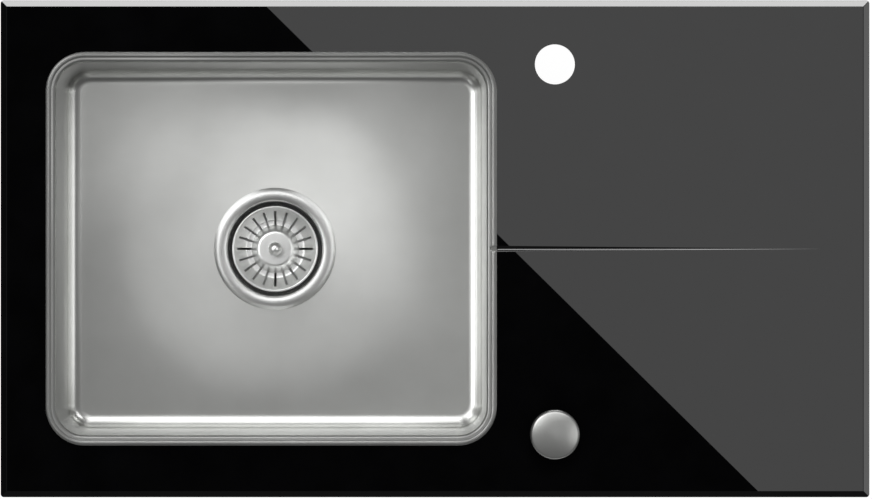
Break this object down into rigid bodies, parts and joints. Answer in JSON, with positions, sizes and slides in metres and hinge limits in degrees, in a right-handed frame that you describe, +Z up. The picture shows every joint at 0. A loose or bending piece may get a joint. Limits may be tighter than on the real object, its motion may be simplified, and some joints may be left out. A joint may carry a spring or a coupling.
{
  "type": "kitchen sink",
  "caption": "Inset kitchen sink: a pressed stainless bowl in a bevelled black glass drainer, with a tap hole, a drain groove and a basket waste that a knob opens.",
  "frame": {"origin": "centre of the glass outline on the worktop's surface, where the foam rim seal rests", "axes": "+X to the drainer at the right, +Y to the back, +Z up out of the worktop"},
  "size_m": [0.78, 0.446, 0.2824],
  "materials": {
    "black_glass": "toughened glass, black behind, polished, bevel ground and polished",
    "satin_steel": "stainless steel, fine satin brush",
    "bright_steel": "stainless steel, bright drawn finish",
    "zinc_steel": "zinc plated steel",
    "black_rubber": "moulded black rubber",
    "seal_foam": "closed-cell foam and black sealant",
    "damping_pad": "matt bitumen damping pad",
    "white_plastic": "moulded white plastic",
    "black_plastic": "moulded black plastic",
    "cable_cover": "extruded black cable cover"
  },
  "bodies": {
    "sink": {"rim_seal": "seal_foam", "glass_top": "black_glass", "lip_sealant": "seal_foam", "bowl": "satin_steel", "side_pads": "damping_pad", "base_pad": "damping_pad", "support_frame": "zinc_steel", "frame_bond": "seal_foam", "cross_rail": "zinc_steel", "rail_pad": "seal_foam", "clamp_brackets": "zinc_steel", "clamp_studs": "zinc_steel", "clamp_wing_nuts": "zinc_steel", "strainer_cup": "bright_steel", "flange_gasket": "black_rubber", "waste_gasket": "black_rubber", "waste_housing": "white_plastic", "clamp_bolt": "bright_steel", "bolt_nut": "zinc_steel", "shaft_seal": "black_rubber", "lever_ferrule": "zinc_steel", "cable_sheath": "cable_cover", "control_ferrule": "zinc_steel", "control_gasket": "black_rubber", "control_bushing": "satin_steel", "control_washer": "black_rubber", "control_backnut": "white_plastic", "control_housing": "black_plastic", "control_cover": "black_plastic", "cover_screws": "zinc_steel"},
    "knob": {"control_knob": "satin_steel", "control_spindle": "zinc_steel", "pinion": "white_plastic"},
    "rack": {"rack": "white_plastic", "rack_wire": "zinc_steel"},
    "lever_wire": {"lever_wire": "zinc_steel"},
    "lever": {"lever_shaft": "zinc_steel", "lift_lever": "white_plastic", "crank_arm": "zinc_steel"},
    "lift_pin": {"lift_pin": "bright_steel"},
    "basket": {"basket": "bright_steel", "basket_seal": "black_rubber", "basket_stem": "bright_steel", "basket_ball_knob": "bright_steel"},
    "clamp_1": {"clamp_arm_1": "zinc_steel"},
    "clamp_2": {"clamp_arm_2": "zinc_steel"},
    "clamp_3": {"clamp_arm_3": "zinc_steel"},
    "clamp_4": {"clamp_arm_4": "zinc_steel"},
    "clamp_5": {"clamp_arm_5": "zinc_steel"},
    "clamp_6": {"clamp_arm_6": "zinc_steel"}
  },
  "joints": [
    {"name": "knob_turn", "type": "hinge", "parent": "sink", "child": "knob", "pos_m": [0.1076, -0.1666, 0], "axis": [0, 0, 1], "range_deg": [0, 90]},
    {"name": "rack_slide", "type": "slide", "parent": "sink", "child": "rack", "axis": [0, -1, 0], "range_m": [0, 0.00943]},
    {"name": "wire_pull", "type": "slide", "parent": "sink", "child": "lever_wire", "axis": [1, 0, 0], "range_m": [0, 0.00943]},
    {"name": "lever_turn", "type": "hinge", "parent": "sink", "child": "lever", "pos_m": [-0.167, 0, -0.20999], "axis": [0, 1, 0], "range_deg": [-28.96, 0]},
    {"name": "pin_lift", "type": "slide", "parent": "sink", "child": "lift_pin", "axis": [0, 0, 1], "range_m": [0, 0.01001]},
    {"name": "basket_lift_out", "type": "slide", "parent": "lift_pin", "child": "basket", "axis": [0, 0, 1], "range_m": [0, 0.26]},
    {"name": "clamp_swing_1", "type": "hinge", "parent": "sink", "child": "clamp_1", "pos_m": [-0.25, -0.1988, -0.045], "axis": [0, 0, 1], "range_deg": [0, 90]},
    {"name": "clamp_swing_2", "type": "hinge", "parent": "sink", "child": "clamp_2", "pos_m": [0.25, -0.1988, -0.045], "axis": [0, 0, 1], "range_deg": [0, 90]},
    {"name": "clamp_swing_3", "type": "hinge", "parent": "sink", "child": "clamp_3", "pos_m": [0.3658, 0, -0.045], "axis": [0, 0, 1], "range_deg": [0, 90]},
    {"name": "clamp_swing_4", "type": "hinge", "parent": "sink", "child": "clamp_4", "pos_m": [0.25, 0.1988, -0.045], "axis": [0, 0, 1], "range_deg": [0, 90]},
    {"name": "clamp_swing_5", "type": "hinge", "parent": "sink", "child": "clamp_5", "pos_m": [-0.25, 0.1988, -0.045], "axis": [0, 0, 1], "range_deg": [0, 90]},
    {"name": "clamp_swing_6", "type": "hinge", "parent": "sink", "child": "clamp_6", "pos_m": [-0.3658, 0, -0.045], "axis": [0, 0, 1], "range_deg": [0, 90]}
  ],
  "couplings": [
    {"joint": "rack_slide", "follows": "knob_turn", "m_per_rad": 0.006},
    {"joint": "wire_pull", "follows": "knob_turn", "m_per_rad": 0.006},
    {"joint": "lever_turn", "follows": "knob_turn", "ratio": -0.32172},
    {"joint": "pin_lift", "follows": "knob_turn", "m_per_rad": 0.0063662}
  ]
}
